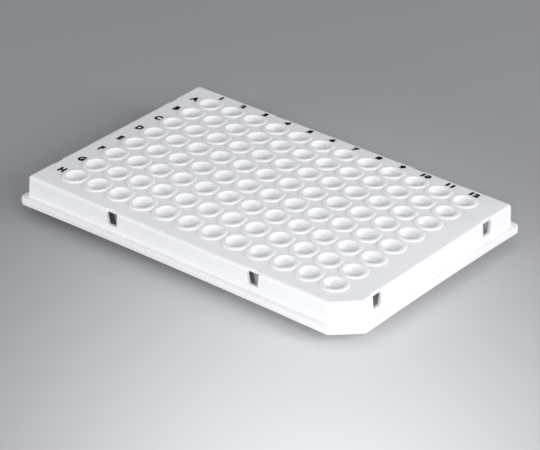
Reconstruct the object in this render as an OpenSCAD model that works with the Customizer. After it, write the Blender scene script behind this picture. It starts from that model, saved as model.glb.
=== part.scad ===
// Low-profile, half-skirted 96-well plate, moulded in one piece.
// X runs along the numbered columns, Y along the lettered rows, Z up.
// The origin is under the plate's centre, level with the lowest tube tips.

/* [Footprint] */
// Length of the base flange, along X
plate_l = 127.76; // [122:0.01:134]
// Width of the base flange, along Y
plate_w = 85.48; // [82:0.01:92]
// Radius of the flange's corners
flange_r = 2.3; // [2.2:0.1:4]
// Height of the flange
flange_h = 2.3; // [2:0.1:4]
// How far the flange stands out past the wall
flange_lip = 2.1; // [1.2:0.1:3]
// Thickness of the flange's upright rim
flange_t = 1.2; // [0.9:0.1:1.6]
// Thickness of the ledge between the wall and the flange
ledge_t = 1.1; // [0.8:0.1:1.6]

/* [Skirt] */
// Height from the flange's foot to the edge of the deck
skirt_h = 9.4; // [8:0.1:11]
// Wall thickness of the skirt
wall_t = 1; // [0.8:0.1:1.4]
// Radius of the skirt's upright corners
wall_r = 1.6; // [1.6:0.1:2.6]
// Length cut off each side of the marked corner
corner_cut = 7; // [4:0.1:9]

/* [Deck] */
// Thickness of the deck
deck_t = 1.2; // [0.9:0.1:1.8]
// Rise of the crowned deck at its middle
deck_crown = 1.7; // [0.5:0.1:2.2]
// How flat the crown stays along X before it falls to the edge
crown_power_x = 3; // [2:0.1:4]
// How flat the crown stays along Y before it falls to the edge
crown_power_y = 2.1; // [2:0.1:4]
// Radius of the deck's upper edge
edge_r = 0.9; // [0.5:0.1:1.1]

/* [Wells] */
// Number of lettered rows
rows = 8; // [4:2:8]
// Number of numbered columns
columns = 12; // [4:2:12]
// Distance between neighbouring wells
pitch = 9; // [8.96:0.01:9.1]
// Diameter of each well's mouth, at the top of its rim
mouth_d = 6.2; // [5.6:0.1:6.6]
// Depth of each well, from the top of its rim
well_depth = 13; // [12:0.1:15]
// Narrowing of the well's radius for each mm of depth
well_taper = 0.2; // [0.15:0.005:0.2]
// Diameter of the flat at the bottom of each well
well_floor_d = 0.7; // [0.4:0.1:1]
// Height of the slope between the well's cone and its floor
well_floor_slope = 0.4; // [0.2:0.1:0.6]
// Wall thickness of each tube
tube_t = 0.38; // [0.3:0.02:0.6]
// Thickness of the bottom of each tube
tube_floor_t = 0.5; // [0.3:0.1:0.8]

/* [Rims] */
// Height of each rim above the deck
rim_h = 0.38; // [0.3:0.02:0.6]
// Outer diameter of each rim at the deck
rim_foot_d = 8.96; // [8.2:0.02:8.96]
// Outer diameter of the flat top of each rim
rim_top_d = 8.3; // [7.8:0.1:8.4]
// Depth that each rim is rooted in the deck
rim_root = 0.7; // [0.4:0.1:0.8]

/* [Gripping windows] */
// Distance of each window from the middle of its side
window_at = 27; // [24:0.1:30]
// Width of each window at the deck
window_w = 4.5; // [3.5:0.1:5]
// Narrowing of each side of a window towards its sill
window_narrowing = 0.6; // [0.1:0.05:0.7]
// Height of the sill below the edge of the deck
window_drop = 4.95; // [4:0.05:5.5]
// Depth that each window bites into the edge of the deck
window_bite = 1; // [0.8:0.1:1.2]

/* [Hidden] */
$fn = 48;
// How far a cut runs past the faces that it opens
past = 1;
// Overlap of solids that are moulded as one
root = 0.4;
// Height of the thin levels that a rounded edge is hulled from
skin = 0.01;

wall_l = plate_l - 2 * flange_lip;
wall_w = plate_w - 2 * flange_lip;
wall_inner_r = wall_r - wall_t / 2;
tube_len = well_depth + tube_floor_t - rim_h;
last_x = (columns - 1) / 2 * pitch;
last_y = (rows - 1) / 2 * pitch;
deck_z = tube_len - crown(last_x, last_y);
foot_z = deck_z - skirt_h;

// Rise of the deck above its edge: a product of one power curve along each
// axis, which dies out at the outer faces of the wall.
function crown(x, y) =
    deck_crown
    * (1 - pow(min(1, abs(2 * x / wall_l)), crown_power_x))
    * (1 - pow(min(1, abs(2 * y / wall_w)), crown_power_y));

// Radius of a well at a height measured from the deck.
function well_r(z) = mouth_d / 2 - well_taper * (rim_h - z);

// Lines of the deck's grid along one axis: one line midway between
// neighbouring wells and one past each end.
function grid_lines(count, reach) =
    [-reach, for (i = [0 : count]) (i - count / 2) * pitch, reach];

// Upright block with rounded corners, on the XY plane.
module rounded_block(l, w, h, r) {
    translate([-l / 2 + r, -w / 2, 0]) cube([l - 2 * r, w, h]);
    translate([-l / 2, -w / 2 + r, 0]) cube([l, w - 2 * r, h]);
    for (sx = [-1, 1], sy = [-1, 1])
        translate([sx * (l / 2 - r), sy * (w / 2 - r), 0]) cylinder(h = h, r = r);
}

// Block with the outline of the skirt's wall, set out by some distance all
// round, with the marked corner, at +X and -Y, cut off at 45 degrees.
module skirt_block(out, h, r) {
    l = wall_l + 2 * out;
    w = wall_w + 2 * out;
    cut = corner_cut + (2 - sqrt(2)) * out;
    difference() {
        rounded_block(l, w, h, r);
        translate([l / 2, -w / 2, -past])
            rotate([0, 0, 45])
                translate([-2 * cut, cut / sqrt(2) - 2 * cut, 0])
                    cube([4 * cut, 2 * cut, h + 2 * past]);
    }
}

// Block with the outline of the deck and a rounded upper edge, made of levels
// that follow a quarter circle.
module deck_block() {
    levels = [0, 30, 60, 90];
    hull() {
        skirt_block(0, root, wall_r);
        for (a = levels)
            translate([0, 0, skirt_h - edge_r * (1 - sin(a)) - skin])
                skirt_block(-edge_r * (1 - cos(a)), skin, wall_r - edge_r * (1 - cos(a)));
    }
}

// Crowned slab under the whole deck, with a ridge line between each pair of wells.
module crowned_slab() {
    xs = grid_lines(columns, wall_l / 2 + past);
    ys = grid_lines(rows, wall_w / 2 + past);
    nx = len(xs);
    ny = len(ys);
    top = [for (y = ys, x = xs) [x, y, deck_z + crown(x, y)]];
    under = [for (p = top) [p[0], p[1], p[2] - deck_t]];
    low = nx * ny;
    function at(i, j) = j * nx + i;
    faces = concat(
        [for (j = [0 : ny - 2], i = [0 : nx - 2]) each [
            [at(i, j), at(i, j + 1), at(i + 1, j + 1)],
            [at(i, j), at(i + 1, j + 1), at(i + 1, j)],
            [low + at(i, j), low + at(i + 1, j + 1), low + at(i, j + 1)],
            [low + at(i, j), low + at(i + 1, j), low + at(i + 1, j + 1)]]],
        [for (i = [0 : nx - 2]) each [
            [at(i, 0), at(i + 1, 0), low + at(i + 1, 0), low + at(i, 0)],
            [at(i + 1, ny - 1), at(i, ny - 1), low + at(i, ny - 1), low + at(i + 1, ny - 1)]]],
        [for (j = [0 : ny - 2]) each [
            [at(0, j + 1), at(0, j), low + at(0, j), low + at(0, j + 1)],
            [at(nx - 1, j), at(nx - 1, j + 1), low + at(nx - 1, j + 1), low + at(nx - 1, j)]]]);
    polyhedron(points = concat(top, under), faces = faces);
}

// Deck over the skirt, with its upper edge rounded.
module deck() {
    intersection() {
        crowned_slab();
        union() {
            translate([0, 0, foot_z]) deck_block();
            translate([0, 0, deck_z - skin])
                skirt_block(-edge_r, 2 * deck_crown, wall_r - edge_r);
        }
    }
}

// Upright wall round the deck, open below.
module skirt_wall() {
    h = skirt_h - flange_h + ledge_t - edge_r;
    translate([0, 0, foot_z + flange_h - ledge_t])
        difference() {
            skirt_block(0, h, wall_r);
            translate([0, 0, -past]) skirt_block(-wall_t, h + 2 * past, wall_inner_r);
        }
}

// Stepped-out foot of the skirt: a ledge and an upright rim below it.
module flange() {
    translate([0, 0, foot_z])
        difference() {
            skirt_block(flange_lip, flange_h, flange_r);
            translate([0, 0, -past])
                skirt_block(flange_lip - flange_t, flange_h - ledge_t + past, flange_r - flange_t / 2);
            skirt_block(-wall_t, flange_h + past, wall_inner_r);
        }
}

// Tube under one well, with the raised rim round its mouth. Z is 0 at the deck.
module tube() {
    floor_r = well_floor_d / 2 + tube_t;
    slope_z = -tube_len + tube_floor_t + well_floor_slope;
    rotate_extrude()
        polygon([
            [0, -tube_len],
            [floor_r, -tube_len],
            [well_r(slope_z) + tube_t, slope_z],
            [well_r(-rim_root) + tube_t, -rim_root],
            [rim_foot_d / 2, -rim_root],
            [rim_foot_d / 2, 0],
            [rim_top_d / 2, rim_h],
            [0, rim_h]]);
}

// Hollow of one well, run on past the top of its rim.
module well() {
    slope_z = -tube_len + tube_floor_t + well_floor_slope;
    rotate_extrude()
        polygon([
            [0, -tube_len + tube_floor_t],
            [well_floor_d / 2, -tube_len + tube_floor_t],
            [well_r(slope_z), slope_z],
            [well_r(rim_h + past), rim_h + past],
            [0, rim_h + past]]);
}

// Places its children at each well, at the height of the deck there.
module at_each_well() {
    for (column = [0 : columns - 1], row = [0 : rows - 1]) {
        x = column * pitch - last_x;
        y = last_y - row * pitch;
        translate([x, y, deck_z + crown(x, y)]) children();
    }
}

// Cutter of one window, in a wall whose outer face lies on the XZ plane.
module window() {
    rise = window_drop + deck_crown + past;
    spread = window_narrowing * rise / window_drop;
    foot_w = window_w / 2 - window_narrowing;
    translate([0, window_bite, -window_drop])
        rotate([90, 0, 0])
            linear_extrude(height = window_bite + past)
                polygon([
                    [-foot_w, 0], [foot_w, 0],
                    [foot_w + spread, rise], [-foot_w - spread, rise]]);
}

// Two windows in each of the four sides.
module windows() {
    for (s = [-1, 1]) {
        for (turn = [0, 180])
            rotate([0, 0, turn]) translate([s * window_at, -wall_w / 2, deck_z]) window();
        for (turn = [90, 270])
            rotate([0, 0, turn]) translate([s * window_at, -wall_l / 2, deck_z]) window();
    }
}

module plate() {
    color("whitesmoke")
        difference() {
            union() {
                deck();
                skirt_wall();
                flange();
                at_each_well() tube();
            }
            at_each_well() well();
            windows();
        }
}

plate();
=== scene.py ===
"""Looks of a low-profile, half-skirted 96-well plate, moulded in white polypropylene.

The plate is one closed surface worked out with numpy. Its sizes are in millimetres, in the
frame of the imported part, and become metres where a mesh is made.
"""

import math

import bmesh
import bpy
import numpy as np
from mathutils import Matrix, Vector


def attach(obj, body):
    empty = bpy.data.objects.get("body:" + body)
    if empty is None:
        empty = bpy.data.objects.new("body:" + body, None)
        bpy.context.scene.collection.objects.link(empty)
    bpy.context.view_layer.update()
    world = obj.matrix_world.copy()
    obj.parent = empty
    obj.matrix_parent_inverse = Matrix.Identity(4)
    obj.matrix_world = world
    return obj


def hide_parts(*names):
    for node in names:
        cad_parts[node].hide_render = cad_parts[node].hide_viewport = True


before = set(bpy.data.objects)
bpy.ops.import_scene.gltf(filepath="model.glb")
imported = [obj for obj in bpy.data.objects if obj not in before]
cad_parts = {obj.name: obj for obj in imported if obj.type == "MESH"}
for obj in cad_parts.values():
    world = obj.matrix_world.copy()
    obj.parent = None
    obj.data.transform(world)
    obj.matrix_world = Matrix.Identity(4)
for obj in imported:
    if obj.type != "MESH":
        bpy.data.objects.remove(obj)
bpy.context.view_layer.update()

MM = 0.001

# Footprint and skirt.
PLATE_L, PLATE_W = 127.76, 85.48
FLANGE_R, FLANGE_H, FLANGE_LIP, FLANGE_T, LEDGE_T = 2.3, 2.3, 2.0, 1.2, 1.1
SKIRT_H, WALL_T, WALL_R = 9.4, 1.0, 1.3
# Length of the cut corner along each side, and radius of its two blunted edges.
CORNER_CUT, BLUNT_R = 7.0, 0.8
# Distance of the wall's true face from the edge of the footprint, and how far the real face lies in
# from it at the deck and out from it at the ledge, as draft.
WALL_IN, WALL_DRAFT = 2.1, 0.12
WALL_L, WALL_W = PLATE_L - 2 * WALL_IN, PLATE_W - 2 * WALL_IN
# Shrinkage of the moulding at each side, and how far the middle of each side bows in past it, as
# (at the deck, at the foot): the warped deck swings the skirt's foot inwards.
SHRINK = 0.3
BOW_FRONT, BOW_BACK, BOW_LEFT, BOW_RIGHT = (-0.5, 0.75), (0.2, 0.8), (0.3, 0.6), (0.0, 0.5)
# How fast this dies out from a side towards the middle of the plate.
PULL_POWER = 6

# Deck.
DECK_T, DECK_CROWN, CROWN_POWER_X, CROWN_POWER_Y, EDGE_R = 1.2, 1.7, 3.0, 2.1, 1.0

# Wells, tubes and rims.
ROWS, COLUMNS, PITCH = 8, 12, 9.0
MOUTH_D, WELL_DEPTH, WELL_TAPER, WELL_FLOOR_D = 6.2, 13.0, 0.2, 0.7
TUBE_T, TUBE_FLOOR_T, FLOOR_SLOPE = 0.38, 0.5, 0.4
RIM_H, RIM_FOOT_D, RIM_TOP_D = 0.38, 8.96, 8.3
TUBE_LEN = WELL_DEPTH + TUBE_FLOOR_T - RIM_H
LAST_X, LAST_Y = (COLUMNS - 1) / 2 * PITCH, (ROWS - 1) / 2 * PITCH

# Gripping windows.
WINDOW_AT, WINDOW_W, WINDOW_DRAFT, WINDOW_DROP, WINDOW_BITE = 27.0, 4.5, 0.6, 4.95, 1.1

# Steps along one side of a well's cell, and so along every ring of the plate.
STEPS = 9
# Steps of the skirt's outline that go to half a rounded corner and to half the cut corner.
ROUND_STEPS, CUT_STEPS = 6, 3
# Rings across the flat margin between the wells and the skirt.
MARGIN_RINGS = 3
# Distance within which neighbouring points of the plate, and of the print, become one.
PLATE_SEAM, PRINT_SEAM = 0.001, 0.0001
# Angles in degrees past which an edge is shaded sharp, and past which a window's edge is softened,
# and the width of that softening.
SHARP_ANGLE, SOFTEN_ANGLE, SOFTEN_W = 40, 50, 0.12


def crown(x, y):
    """Rise of the deck over its edge: crown * (1 - |2x/l|^a) * (1 - |2y/w|^b)."""
    u = np.minimum(1, np.abs(2 * np.asarray(x) / WALL_L))
    v = np.minimum(1, np.abs(2 * np.asarray(y) / WALL_W))
    return DECK_CROWN * (1 - u ** CROWN_POWER_X) * (1 - v ** CROWN_POWER_Y)


DECK_Z = TUBE_LEN - float(crown(LAST_X, LAST_Y))
FOOT_Z = DECK_Z - SKIRT_H


def well_r(z):
    """Radius of a well at a height over the deck: a straight taper down from the mouth."""
    return MOUTH_D / 2 - WELL_TAPER * (RIM_H - z)


# ---------------------------------------------------------------- mesh building

def make_piece(name, points_mm, faces):
    """A mesh object at the origin from points in millimetres and lists of corner indices."""
    mesh = bpy.data.meshes.new(name)
    mesh.from_pydata((np.asarray(points_mm) * MM).tolist(), [], faces)
    mesh.validate()
    mesh.update()
    piece = bpy.data.objects.new(name, mesh)
    bpy.context.scene.collection.objects.link(piece)
    return piece


def merge_doubles(piece, reach):
    """Joins points of a mesh that lie within some millimetres of each other."""
    bm = bmesh.new()
    bm.from_mesh(piece.data)
    bmesh.ops.remove_doubles(bm, verts=bm.verts, dist=reach * MM)
    bm.to_mesh(piece.data)
    bm.free()
    piece.data.update()


def apply_modifiers(piece):
    """Shades a piece smooth but for its sharp edges, and gives it what its modifiers make of it."""
    piece.data.shade_smooth()
    piece.data.set_sharp_from_angle(angle=math.radians(SHARP_ANGLE))
    graph = bpy.context.evaluated_depsgraph_get()
    done = bpy.data.meshes.new_from_object(piece.evaluated_get(graph), depsgraph=graph)
    piece.modifiers.clear()
    piece.data = done


def ring_strip(lower, upper):
    """Four-sided faces between two closed rings of vertex numbers, one ring per row of the arrays.

    Corner k of the strip joins lower[k], lower[k+1], upper[k+1] and upper[k].
    """
    a, b = np.asarray(lower), np.asarray(upper)
    return np.stack([a, np.roll(a, -1, -1), np.roll(b, -1, -1), b], -1).reshape(-1, 4)


def square_ring(half):
    """Points round a square of that half side, anticlockwise from its (+, +) corner."""
    t = np.arange(STEPS) / STEPS
    run = 1 - 2 * t
    one = np.ones(STEPS)
    x = np.concatenate([run, -one, -run, one])
    y = np.concatenate([one, run, -one, -run])
    return half * np.stack([x, y], 1)


def circle_ring(r):
    """Points round a circle, in step with square_ring: the corners lie at 45 degrees."""
    a = math.pi / 4 + np.arange(4 * STEPS) * (math.pi / 2 / STEPS)
    return r * np.stack([np.cos(a), np.sin(a)], 1)


def arc_levels(r, start, end, count):
    """(set-out, rise) pairs along an arc of radius r, from one angle in degrees to another."""
    a = np.radians(np.linspace(start, end, count))
    return np.stack([r * np.cos(a), r * np.sin(a)], 1)


def cell_surface(profile, flip):
    """The cells of all wells in one skin of the plate, as points and faces.

    Each cell is a square that turns into circles of the profile's radii and heights about its
    well, and ends in a pole. Heights follow the crown at every point. The square's own points
    repeat in neighbouring cells and are merged later.
    """
    cx = (np.arange(COLUMNS) * PITCH - LAST_X)[:, None, None]
    cy = (LAST_Y - np.arange(ROWS) * PITCH)[None, :, None]
    rings = [(square_ring(PITCH / 2), profile[0][1])]
    rings += [(circle_ring(r), z) for r, z in profile]
    count = 4 * STEPS
    points, faces, numbers = [], [], []
    base = 0
    for ring, z in rings:
        x = cx + ring[:, 0]
        y = cy + ring[:, 1]
        x, y = np.broadcast_arrays(x, y)
        height = DECK_Z + crown(x, y) + z
        points.append(np.stack([x, y, height], -1).reshape(-1, 3))
        numbers.append(base + np.arange(COLUMNS * ROWS * count).reshape(-1, count))
        base += COLUMNS * ROWS * count
    for outer, inner in zip(numbers[:-1], numbers[1:]):
        faces.append(ring_strip(outer, inner))
    x, y = np.broadcast_arrays(cx[..., 0], cy[..., 0])
    poles = np.stack([x, y, DECK_Z + crown(x, y) + profile[-1][1]], -1).reshape(-1, 3)
    points.append(poles)
    pole = base + np.arange(COLUMNS * ROWS)
    last = numbers[-1]
    fans = np.stack([last, np.roll(last, -1, 1), np.repeat(pole[:, None], count, 1)], -1).reshape(-1, 3)
    quads = np.concatenate(faces)
    if flip:
        quads, fans = quads[:, ::-1], fans[:, ::-1]
    return np.concatenate(points), quads.tolist() + fans.tolist()


def top_profile():
    """Radius and height of the deck, the rim and the inside of a well, from the foot inwards.

    The rim's outer slope is blunted at its foot and top, and its flat rolls over into the mouth.
    """
    foot, top, mouth = RIM_FOOT_D / 2, RIM_TOP_D / 2, MOUTH_D / 2
    floor_z = -TUBE_LEN + TUBE_FLOOR_T
    slope = [(foot, 0.0), (foot - 0.05, 0.03), (top + 0.05, RIM_H - 0.03), (top - 0.03, RIM_H)]
    flat = [(top - 0.15, RIM_H), (mouth + 0.2, RIM_H)]
    lip = [(mouth + 0.1, RIM_H - 0.005), (mouth + 0.015, RIM_H - 0.04),
           (well_r(RIM_H - 0.18), RIM_H - 0.18)]
    cone = [(well_r(z), z) for z in (-2.0, -5.5, -9.0, floor_z + FLOOR_SLOPE)]
    return slope + flat + lip + cone + [(WELL_FLOOR_D / 2, floor_z)]


def under_profile():
    """Radius and height of the underside of the deck and the outside of a tube, down to its tip.

    A small fillet leads from the deck into the tube, and the tip is blunted.
    """
    root = well_r(-DECK_T) + TUBE_T
    slope_z = -TUBE_LEN + TUBE_FLOOR_T + FLOOR_SLOPE
    tip_r = WELL_FLOOR_D / 2 + TUBE_T
    fillet = [(root + 0.35, -DECK_T), (root + 0.08, -DECK_T - 0.12)]
    cone = [(well_r(z) + TUBE_T, z) for z in (-DECK_T - 0.4, -6.0, slope_z)]
    return fillet + cone + [(tip_r + 0.03, -TUBE_LEN + 0.1), (tip_r - 0.08, -TUBE_LEN)]


def pull_in(along, bow, depth):
    """How far a side lies inside its true line: shrinkage + bow * (1 - s^2), s = -1 to 1 along it.

    The bow changes evenly with depth, from its value at the deck to its value at the foot.
    """
    at_deck, at_foot = bow
    share = depth / SKIRT_H
    return SHRINK + (at_deck + (at_foot - at_deck) * share) * (1 - np.minimum(1, np.abs(along)) ** 2)


def drawn_in(xy, depth):
    """Points moved in from each side by pull_in * |2x/l|^p, in full at the wall."""
    u, v = 2 * xy[:, 0] / WALL_L, 2 * xy[:, 1] / WALL_W
    right, left = pull_in(v, BOW_RIGHT, depth), pull_in(v, BOW_LEFT, depth)
    back, front = pull_in(u, BOW_BACK, depth), pull_in(u, BOW_FRONT, depth)
    ends = np.where(u > 0, right, -left) * np.minimum(1, np.abs(u)) ** PULL_POWER
    sides = np.where(v > 0, back, -front) * np.minimum(1, np.abs(v)) ** PULL_POWER
    return xy - np.stack([ends, sides], 1)


def half_arc(x, y, r, start, end):
    """Points of half a rounded corner about (x, y), from one angle in degrees up to another."""
    a = np.radians(np.linspace(start, end, ROUND_STEPS + 1))[:-1]
    return np.stack([x + r * np.cos(a), y + r * np.sin(a)], 1)


def straight(start, end, steps):
    """Points of a straight run, from its start up to its end."""
    t = (np.arange(steps) / steps)[:, None]
    return np.asarray(start) * (1 - t) + np.asarray(end) * t


def outline(out, r, depth=0.0):
    """Closed outline of the skirt's wall, set out by a distance, with one corner cut off.

    Each of the four sides has as many points as the side of the well field that it faces, from
    the (+, +) corner anticlockwise: half a corner, a straight run, half the next corner.
    """
    long_run = COLUMNS * STEPS - 2 * ROUND_STEPS
    short_run = ROWS * STEPS - 2 * ROUND_STEPS
    # Half sizes, and the centres of the rounded corners.
    hl, hw = WALL_L / 2 + out, WALL_W / 2 + out
    x, y = hl - r, hw - r
    # The cut corner: the reach of its blunted edges, where they start and end, and its middle.
    cut = CORNER_CUT + (2 - math.sqrt(2)) * out
    tangent = BLUNT_R * math.tan(math.radians(22.5))
    end_x, end_y = hl - cut - tangent, -hw + cut + tangent
    diagonal = BLUNT_R * math.sqrt(0.5)
    cut_start = np.array([end_x + diagonal, -hw + BLUNT_R - diagonal])
    cut_end = np.array([hl - BLUNT_R + diagonal, end_y - diagonal])
    middle = (cut_start + cut_end) / 2
    back = [half_arc(x, y, r, 45, 90), straight((x, hw), (-x, hw), long_run),
            half_arc(-x, y, r, 90, 135)]
    left = [half_arc(-x, y, r, 135, 180), straight((-hl, y), (-hl, -y), short_run),
            half_arc(-x, -y, r, 180, 225)]
    front = [half_arc(-x, -y, r, 225, 270), straight((-x, -hw), (end_x, -hw), long_run - CUT_STEPS),
             half_arc(end_x, -hw + BLUNT_R, BLUNT_R, 270, 315), straight(cut_start, middle, CUT_STEPS)]
    right = [straight(middle, cut_end, CUT_STEPS), half_arc(hl - BLUNT_R, end_y, BLUNT_R, 315, 360),
             straight((hl, end_y), (hl, y), short_run - CUT_STEPS), half_arc(x, y, r, 0, 45)]
    return drawn_in(np.concatenate(back + left + front + right), depth)


def field_outline():
    """Points round the rectangle of all cells, in step with outline()."""
    hx, hy = COLUMNS * PITCH / 2, ROWS * PITCH / 2
    nx, ny = COLUMNS * STEPS, ROWS * STEPS
    tx, ty = np.arange(nx) / nx, np.arange(ny) / ny
    x = np.concatenate([hx - 2 * hx * tx, np.full(ny, -hx), -hx + 2 * hx * tx, np.full(ny, hx)])
    y = np.concatenate([np.full(nx, hy), hy - 2 * hy * ty, np.full(nx, -hy), -hy + 2 * hy * ty])
    return np.stack([x, y], 1)


def skirt_levels():
    """(set-out, height, corner radius, share of the crown) of each ring of the skirt.

    The rings run out over the edge of the deck, down the wall, round the flange and up the inside.
    """
    ledge_z = FOOT_Z + FLANGE_H
    # Radii of the fillet at the wall's foot, the flange's upper and lower edges and the deck's root,
    # and sizes of the two filled corners under the ledge.
    foot_r, top_r, low_r, root_r = 0.35, 0.45, 0.25, 0.5
    rim_fill, wall_fill = 0.2, 0.3
    # How fast the corners tighten inside the wall's face, and their least radius.
    tighten, least_r = 0.75, 0.4
    levels = []

    def add(out, z, crowned=0.0):
        outside, inside = max(0.0, out), min(0.0, out)
        corner = WALL_R + (FLANGE_R - WALL_R) * outside / FLANGE_LIP + inside * tighten
        levels.append((out, z, max(corner, least_r), crowned))

    for dx, dz in arc_levels(EDGE_R, 90, 0, 7):
        add(-WALL_DRAFT - EDGE_R + dx, DECK_Z - EDGE_R + dz, 1.0)
    for dx, dz in arc_levels(foot_r, 180, 270, 4):
        add(WALL_DRAFT + foot_r + dx, ledge_z + foot_r + dz)
    for dx, dz in arc_levels(top_r, 90, 0, 5):
        add(FLANGE_LIP - top_r + dx, ledge_z - top_r + dz)
    for dx, dz in arc_levels(low_r, 0, -90, 4):
        add(FLANGE_LIP - low_r + dx, FOOT_Z + low_r + dz)
    inner = FLANGE_LIP - FLANGE_T
    for dx, dz in arc_levels(low_r, 270, 180, 3):
        add(inner + low_r + dx, FOOT_Z + low_r + dz)
    add(inner, ledge_z - LEDGE_T - rim_fill)
    add(inner - rim_fill, ledge_z - LEDGE_T)
    add(-WALL_T + wall_fill, ledge_z - LEDGE_T)
    add(-WALL_T, ledge_z - LEDGE_T + wall_fill)
    for dx, dz in arc_levels(root_r, 0, 90, 4):
        add(-WALL_T - root_r + dx, DECK_Z - DECK_T - root_r + dz, 1.0)
    return levels


def skirt_surface():
    """Margin of the deck, edge, wall, flange and inside of the skirt, as one strip of rings."""
    field = field_outline()
    levels = skirt_levels()
    rings = []

    def crowned(xy, z, share):
        return np.column_stack([xy, z + share * crown(xy[:, 0], xy[:, 1])])

    edge = outline(levels[0][0], levels[0][2])
    for t in np.arange(MARGIN_RINGS) / MARGIN_RINGS:
        rings.append(crowned(field * (1 - t) + edge * t, DECK_Z, 1.0))
    for out, z, corner, share in levels:
        rings.append(crowned(outline(out, corner, DECK_Z - z), z, share))
    last = outline(levels[-1][0], levels[-1][2])
    for t in np.arange(1, MARGIN_RINGS + 1) / MARGIN_RINGS:
        rings.append(crowned(last * (1 - t) + field * t, DECK_Z - DECK_T, 1.0))
    count = len(field)
    numbers = np.arange(len(rings) * count).reshape(len(rings), count)
    faces = ring_strip(numbers[1:], numbers[:-1])
    return np.concatenate(rings), faces.tolist()


def window_cutter(index, turn, side, bow):
    """Tapered block that cuts one window, narrower at the sill than above the deck.

    Its inner face follows the lean of the wall, one bite behind the wall's outer face.
    """
    # How far the cutter runs past the crown of the deck and past the wall's outer face.
    above, outside = 1, 2.0
    rise = WINDOW_DROP + DECK_CROWN + above
    low = WINDOW_W / 2 - WINDOW_DRAFT
    high = low + WINDOW_DRAFT * rise / WINDOW_DROP
    along_x = turn in (0, 180)
    wall_half, half_side = (WALL_W / 2, WALL_L / 2) if along_x else (WALL_L / 2, WALL_W / 2)
    sill_in, deck_in = (float(pull_in(WINDOW_AT / half_side, bow, d)) for d in (WINDOW_DROP, 0.0))
    corners = ((-low, 0, sill_in), (low, 0, sill_in), (high, rise, deck_in), (-high, rise, deck_in))
    points = []
    for reach in (-outside, WINDOW_BITE):
        for x, z, lean in corners:
            points.append((side * WINDOW_AT + x, reach + lean - wall_half, z + DECK_Z - WINDOW_DROP))
    spin = np.array(Matrix.Rotation(math.radians(turn), 3, "Z"))
    faces = [(0, 1, 2, 3), (7, 6, 5, 4), (0, 4, 5, 1), (1, 5, 6, 2), (2, 6, 7, 3), (3, 7, 4, 0)]
    return make_piece(f"window_cutter_{index}", np.array(points) @ spin.T, faces)


def moulded_plate():
    """The whole moulding: both skins of the well field and the skirt, joined, with its windows cut."""
    parts = [cell_surface(top_profile(), False), cell_surface(under_profile(), True), skirt_surface()]
    points, faces, base = [], [], 0
    for part_points, part_faces in parts:
        points.append(part_points)
        faces += [[base + i for i in face] for face in part_faces]
        base += len(part_points)
    plate = make_piece("moulded_plate", np.concatenate(points), faces)
    merge_doubles(plate, PLATE_SEAM)
    cutters = []
    for turn, bow in ((0, BOW_FRONT), (180, BOW_BACK), (90, BOW_RIGHT), (270, BOW_LEFT)):
        for side in (-1, 1):
            cutters.append(window_cutter(len(cutters), turn, side, bow))
    for cutter in cutters:
        cut = plate.modifiers.new("window", "BOOLEAN")
        cut.object = cutter
        cut.solver = "MANIFOLD"
    soften = plate.modifiers.new("window_edges", "BEVEL")
    soften.width = SOFTEN_W * MM
    soften.segments = 2
    soften.limit_method = "ANGLE"
    soften.angle_limit = math.radians(SOFTEN_ANGLE)
    soften.use_clamp_overlap = True
    weighted = plate.modifiers.new("flat_faces", "WEIGHTED_NORMAL")
    weighted.keep_sharp = True
    apply_modifiers(plate)
    for cutter in cutters:
        bpy.data.objects.remove(cutter)
    return plate


# ---------------------------------------------------------------- index marks

# Height of the marks, how far their strokes are thickened for each unit of text size, and how much
# wider they are than the built-in face.
LETTER_H, LETTER_BOLD, LETTER_STRETCH = 2.8, 0.082, 0.96
NUMBER_H, NUMBER_BOLD, NUMBER_STRETCH = 2.45, 0.092, 1.18
# Middle of the letter A and distance between the letters; middle of the number 1.
LETTER_X, LETTER_Y, LETTER_PITCH = -55.75, 31.6, 8.92
NUMBER_X, NUMBER_Y = -49.45, 37.35
# How far the print reaches into the deck and stands out of it.
MARK_ROOT, MARK_RISE = 0.05, 0.06


def glyph_mesh(text, bold):
    """Points and faces of a word in the built-in sans, thickened by a half width all round."""
    curve = bpy.data.curves.new("mark", "FONT")
    curve.body = text
    curve.size = 1.0
    curve.bevel_depth = bold
    curve.bevel_resolution = 0
    curve.extrude = 0.02
    curve.resolution_u = 5
    curve.space_character = 1.12
    curve.align_x = "LEFT"
    word = bpy.data.objects.new("mark", curve)
    bpy.context.scene.collection.objects.link(word)
    graph = bpy.context.evaluated_depsgraph_get()
    mesh = bpy.data.meshes.new_from_object(word.evaluated_get(graph), depsgraph=graph)
    points = np.empty(len(mesh.vertices) * 3)
    mesh.vertices.foreach_get("co", points)
    faces = [list(face.vertices) for face in mesh.polygons]
    bpy.data.objects.remove(word)
    bpy.data.curves.remove(curve)
    bpy.data.meshes.remove(mesh)
    return points.reshape(-1, 3), faces


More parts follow.
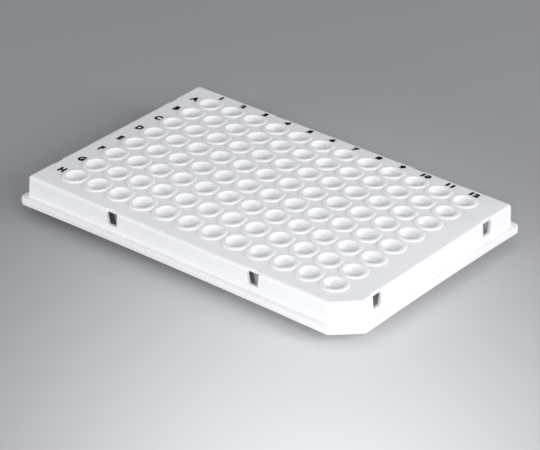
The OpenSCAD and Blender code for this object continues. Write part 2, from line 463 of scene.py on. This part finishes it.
def index_print():
    """Row letters and column numbers, as one thin print that follows the crown of the deck."""
    letters = [(chr(ord("A") + i), LETTER_X, LETTER_Y - LETTER_PITCH * i) for i in range(ROWS)]
    numbers = [(str(i + 1), NUMBER_X + PITCH * i, NUMBER_Y) for i in range(COLUMNS)]
    groups = (
        (letters, LETTER_H, LETTER_BOLD, LETTER_STRETCH),
        (numbers, NUMBER_H, NUMBER_BOLD, NUMBER_STRETCH),
    )
    points, faces, base = [], [], 0
    for words, height, bold, stretch in groups:
        tall, _ = glyph_mesh("H", bold)
        size = height / np.ptp(tall[:, 1])
        for text, x, y in words:
            own, own_faces = glyph_mesh(text, bold)
            across = own[:, 0] - (own[:, 0].max() + own[:, 0].min()) / 2
            share = (own[:, 2] - own[:, 2].min()) / np.ptp(own[:, 2])
            px = across * size * stretch + x
            py = (own[:, 1] - tall[:, 1].min()) * size - height / 2 + y
            pz = DECK_Z + crown(px, py) + share * (MARK_ROOT + MARK_RISE) - MARK_ROOT
            points.append(np.stack([px, py, pz], 1))
            faces += [[base + i for i in face] for face in own_faces]
            base += len(own)
    piece = make_piece("index_print", np.concatenate(points), faces)
    merge_doubles(piece, PRINT_SEAM)
    return piece


# ---------------------------------------------------------------- materials

class Wire:
    """An output socket in a material's node tree, with arithmetic."""

    def __init__(self, graph, socket):
        self.graph, self.socket = graph, socket

    def _math(self, operation, *others):
        inputs = dict(enumerate([self, *others]))
        return self.graph.node("ShaderNodeMath", 0, inputs, operation=operation)

    def __add__(self, other):
        return self._math("ADD", other)

    def __sub__(self, other):
        return self._math("SUBTRACT", other)

    def __mul__(self, other):
        return self._math("MULTIPLY", other)

    def __pow__(self, other):
        return self._math("POWER", other)

    def between(self, low, high, to_low=0.0, to_high=1.0):
        """Smooth step from one value to another as this wire goes from low to high."""
        values = {"Value": self, "From Min": low, "From Max": high, "To Min": to_low, "To Max": to_high}
        return self.graph.node("ShaderNodeMapRange", 0, values, interpolation_type="SMOOTHSTEP")


class Graph:
    """A material and its node tree."""

    def __init__(self, name):
        self.material = bpy.data.materials.new(name)
        self.material.use_nodes = True
        self.tree = self.material.node_tree
        self.shader = self.tree.nodes["Principled BSDF"]
        self.place = self.node("ShaderNodeTexCoord", "Object")

    def put(self, socket, value):
        """Sets a socket to a number or colour, or links a wire to it."""
        if isinstance(value, Wire):
            self.tree.links.new(value.socket, socket)
        elif isinstance(value, tuple) and len(value) == 3 and socket.type == "RGBA":
            socket.default_value = (*value, 1.0)
        else:
            socket.default_value = value

    def node(self, kind, output=0, inputs=None, **settings):
        """Adds a node, sets it and its inputs, and gives one of its outputs as a wire."""
        made = self.tree.nodes.new(kind)
        for key, value in settings.items():
            setattr(made, key, value)
        for key, value in (inputs or {}).items():
            self.put(made.inputs[key], value)
        return Wire(self, made.outputs[output])

    def along(self, direction):
        """Distance from the object's origin along a direction, in metres."""
        values = {0: self.place, 1: direction}
        return self.node("ShaderNodeVectorMath", "Value", values, operation="DOT_PRODUCT")

    def noise(self, scale, detail=2.0, roughness=0.5):
        """Smooth noise of that many waves per metre, about 0.5."""
        values = {"Vector": self.place, "Scale": scale, "Detail": detail, "Roughness": roughness}
        return self.node("ShaderNodeTexNoise", 0, values)

    def blend(self, share, low, high):
        """A colour between two others."""
        values = {0: share, 6: low, 7: high}
        return self.node("ShaderNodeMix", 2, values, data_type="RGBA")

    def bump(self, height, distance, strength=1.0):
        """A surface direction from a height field, with its depth in metres."""
        values = {"Strength": strength, "Distance": distance, "Height": height}
        return self.node("ShaderNodeBump", 0, values)

    def finish(self, **values):
        """Puts values on the shader's own sockets and gives the material."""
        for key, value in values.items():
            self.put(self.shader.inputs[key.replace("_", " ")], value)
        return self.material


def white_polypropylene():
    """Satin white moulding: fine spark-eroded grain, faint broad tone and gloss changes."""
    g = Graph("white_polypropylene")
    broad = g.noise(28, 3)
    fine = g.noise(900, 2)
    grain = g.noise(5200, 3, 0.6)
    tone = g.blend(broad.between(0.35, 0.65), (0.835, 0.838, 0.85), (0.865, 0.868, 0.88))
    shaded = g.blend(fine.between(0.3, 0.7), tone, (0.87, 0.872, 0.882))
    return g.finish(
        Base_Color=shaded,
        Roughness=broad.between(0.3, 0.7, 0.36, 0.44) + grain * 0.06,
        Normal=g.bump(grain + fine * 0.5, 0.00001, 0.6),
        IOR=1.49,
        Subsurface_Weight=0.25,
        Subsurface_Radius=(1.0, 0.95, 0.9),
        Subsurface_Scale=0.0004,
    )


def index_ink():
    """Flat black pad print, a little thin in places, with an uneven dry surface."""
    g = Graph("index_ink")
    patch = g.noise(1500, 3)
    speck = g.noise(7000, 2)
    tone = g.blend(patch.between(0.35, 0.75), (0.002, 0.002, 0.0025), (0.008, 0.008, 0.009))
    return g.finish(
        Base_Color=tone,
        Roughness=speck.between(0.3, 0.7, 0.6, 0.78),
        Normal=g.bump(patch + speck, 0.000004, 0.5),
        IOR=1.4,
        Specular_IOR_Level=0.12,
    )


# Painted pool of light in the floor's colour, in metres: the bearing from the plate to its middle, its
# distance that way and to the right of it, its reach along that bearing, and how much narrower it is
# across.
PAINTED_POOL_AZIMUTH, PAINTED_POOL_OUT, PAINTED_POOL_RIGHT, PAINTED_POOL_REACH, PAINTED_POOL_NARROW = 38.49, 0.161, 0.012, 0.28, 2.1


def floor_with_painted_light_pool():
    """Plain sheet with a soft matt surface in an even grey, with a painted pool of light before the
    plate.

    The painted pool's share is a smooth step of 1 - sqrt(a^2 + (narrow b)^2) / reach, with a and b
    the distances from its middle along its bearing and across it.
    """
    g = Graph("floor_with_painted_light_pool")
    out = g.along(tuple(bearing(PAINTED_POOL_AZIMUTH, 0)))
    right = g.along(tuple(bearing(PAINTED_POOL_AZIMUTH + 90, 0)))
    a = out - PAINTED_POOL_OUT
    b = (right - PAINTED_POOL_RIGHT) * PAINTED_POOL_NARROW
    painted_light_pool = ((a * a + b * b) ** 0.5).between(0.0, PAINTED_POOL_REACH, 1.0, 0.0)
    tooth = g.noise(600, 3)
    return g.finish(
        # Painted light: the floor's colour brightens from grey to near white in the pool before the
        # plate.
        Base_Color=g.blend(painted_light_pool, (0.362, 0.368, 0.378), (0.935, 0.943, 0.95)),
        Roughness=tooth.between(0.3, 0.7, 0.6, 0.7),
        Normal=g.bump(tooth, 0.00002, 0.2),
        IOR=1.4,
    )


def dress(piece, material):
    """Gives a piece one material."""
    piece.data.materials.clear()
    piece.data.materials.append(material)


# ---------------------------------------------------------------- stage, light and camera

# The camera's bearing and roll in degrees, the point it looks at and its distance from that point
# in millimetres, and its focal length on a sensor of this width.
VIEW_AZIMUTH, VIEW_ELEVATION, VIEW_ROLL = 38.49, 29.47, 0.85
VIEW_AIM, VIEW_DISTANCE = (14.02, -16.60, 12.88), 791.1
VIEW_LENS, VIEW_SENSOR = 179.45, 36
# Half the side of the floor, in metres.
FLOOR_HALF = 1.6


def bearing(azimuth, elevation):
    """Direction from the plate: azimuth turns from the front side to the right side."""
    a, e = math.radians(azimuth), math.radians(elevation)
    return Vector((math.sin(a) * math.cos(e), -math.cos(a) * math.cos(e), math.sin(e)))


def facing(towards, roll=0.0):
    """Turn whose Z axis points along a direction, with X level, then turned about Z."""
    back = towards.normalized()
    right = Vector((0, 0, 1)).cross(back).normalized()
    turn = Matrix((right, back.cross(right), back)).transposed()
    return (turn @ Matrix.Rotation(math.radians(roll), 3, "Z")).to_4x4()


def place_camera():
    """A camera that looks at the plate from over its cut corner."""
    camera = bpy.data.objects.new("camera", bpy.data.cameras.new("camera"))
    camera.data.lens = VIEW_LENS
    camera.data.sensor_width = VIEW_SENSOR
    camera.data.clip_start = 0.01
    direction = bearing(VIEW_AZIMUTH, VIEW_ELEVATION)
    camera.matrix_world = facing(direction, VIEW_ROLL)
    camera.location = (Vector(VIEW_AIM) + direction * VIEW_DISTANCE) * MM
    bpy.context.scene.collection.objects.link(camera)
    bpy.context.scene.camera = camera


def soft_light(name, azimuth, elevation, distance, size, watts):
    """Square lamp that faces the plate from a bearing, with its distance and side in metres."""
    lamp = bpy.data.lights.new(name, "AREA")
    lamp.shape = "SQUARE"
    lamp.size = size
    lamp.energy = watts
    holder = bpy.data.objects.new(name, lamp)
    direction = bearing(azimuth, elevation)
    holder.matrix_world = facing(direction)
    holder.location = direction * distance
    bpy.context.scene.collection.objects.link(holder)


def set_stage():
    """The floor, an even pale sky and four soft lamps from the front and the right."""
    half = FLOOR_HALF
    corners = [(-half, -half, 0), (half, -half, 0), (half, half, 0), (-half, half, 0)]
    floor = make_piece("floor", np.array(corners) / MM, [(0, 1, 2, 3)])
    dress(floor, floor_with_painted_light_pool())
    world = bpy.data.worlds.new("world")
    bpy.context.scene.world = world
    world.use_nodes = True
    sky = world.node_tree.nodes["Background"]
    sky.inputs["Color"].default_value = (0.93, 0.95, 1.0, 1.0)
    sky.inputs["Strength"].default_value = 0.4
    soft_light("near_view", 36, 28, 0.8, 0.12, 1.55)
    soft_light("right", 65, 30, 0.8, 0.35, 1.4)
    soft_light("right_low", 104, 22, 0.8, 0.35, 2.75)
    soft_light("front_low", -12, 9, 1.6, 0.6, 8.2)
    bpy.context.scene.view_settings.view_transform = "Standard"


# ---------------------------------------------------------------- assembly

plate = moulded_plate()
dress(plate, white_polypropylene())
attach(plate, "root")
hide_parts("plate")

marks = index_print()
dress(marks, index_ink())
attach(marks, "root")

set_stage()
place_camera()
